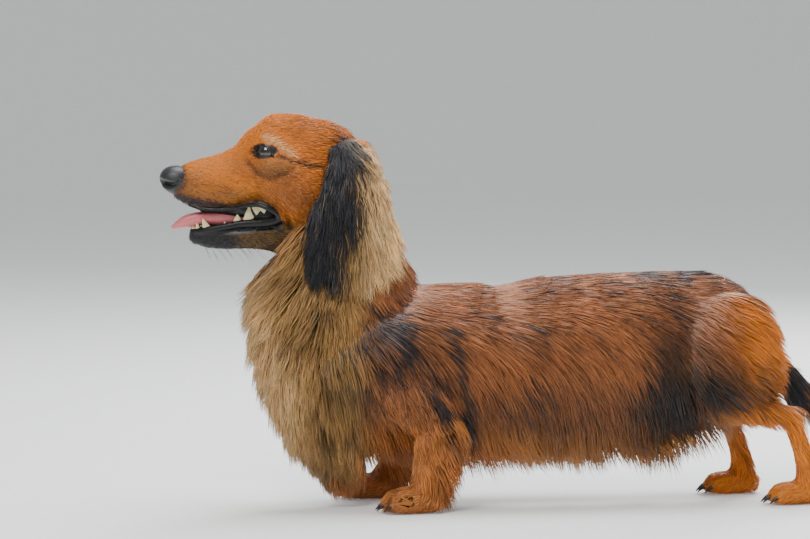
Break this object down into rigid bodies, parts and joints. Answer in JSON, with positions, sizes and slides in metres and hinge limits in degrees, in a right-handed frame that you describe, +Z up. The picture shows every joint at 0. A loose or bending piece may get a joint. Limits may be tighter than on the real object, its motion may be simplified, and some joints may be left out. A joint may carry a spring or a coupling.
{
  "type": "long-haired dachshund",
  "caption": "Standing long-haired dachshund as a still, life-size museum model, mouth open with the tongue out, long hanging ears, feathered bib, belly, legs and tail",
  "frame": {"origin": "the middle of the bounding box's base, on the floor", "axes": "+Z is up, the dog faces -X, and its left side faces -Y"},
  "size_m": [0.7662, 0.1512, 0.3941],
  "materials": {
    "coat_red": "long red-brown coat, glossy on the back",
    "coat_tan": "long pale tan coat of the bib",
    "coat_dark": "black-shaded coat of the ears and tail",
    "nose_leather": "moist, finely pebbled",
    "eye": "dark brown, wet and polished",
    "tongue": "moist, soft"
  },
  "bodies": {
    "root": {"torso": "coat_red", "neck": "coat_tan", "head": "coat_red", "lower_jaw": "coat_red", "nose": "nose_leather", "tongue": "tongue", "eye_left": "eye", "eye_right": "eye", "ear_left": "coat_dark", "ear_right": "coat_dark", "foreleg_left": "coat_red", "foreleg_right": "coat_red", "hindleg_left": "coat_red", "hindleg_right": "coat_red", "tail": "coat_dark"}
  },
  "joints": []
}
